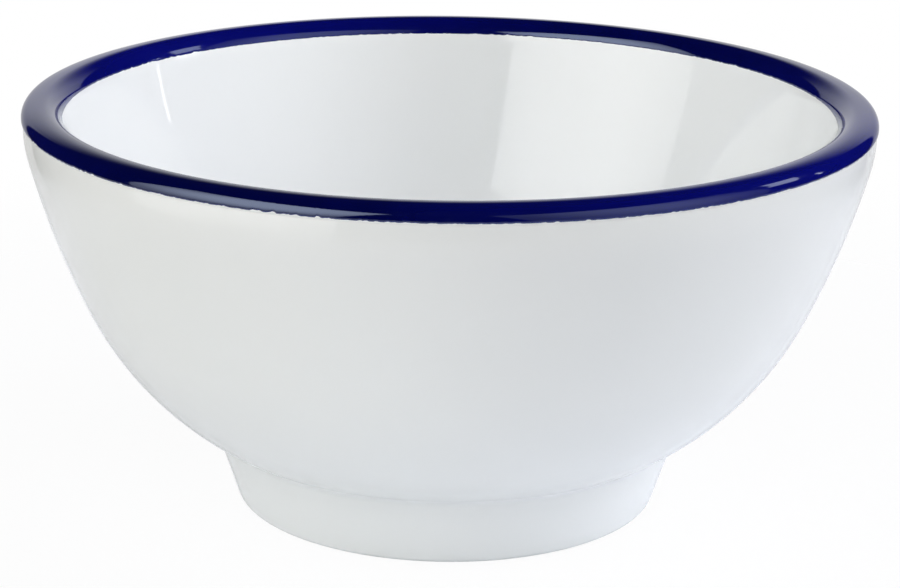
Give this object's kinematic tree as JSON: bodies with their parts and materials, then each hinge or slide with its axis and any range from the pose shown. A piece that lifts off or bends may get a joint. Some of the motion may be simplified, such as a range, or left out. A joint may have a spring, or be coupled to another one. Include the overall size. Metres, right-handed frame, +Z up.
{
  "type": "salad bowl",
  "caption": "Deep round salad bowl on a tapered foot, thick white glossy moulding with a dark blue coat over its rounded rim.",
  "frame": {"origin": "centre of the foot ring, on the plane that the bowl stands on", "axes": "+Z up along the bowl's axis of revolution; X and Y are alike, because the bowl is round"},
  "size_m": [0.2, 0.2, 0.0976],
  "materials": {
    "white_moulding": "glossy moulded melamine, white",
    "blue_coat": "glossy colour coat, dark blue"
  },
  "bodies": {
    "root": {"bowl_body": "white_moulding", "rim_band": "blue_coat"}
  },
  "joints": []
}
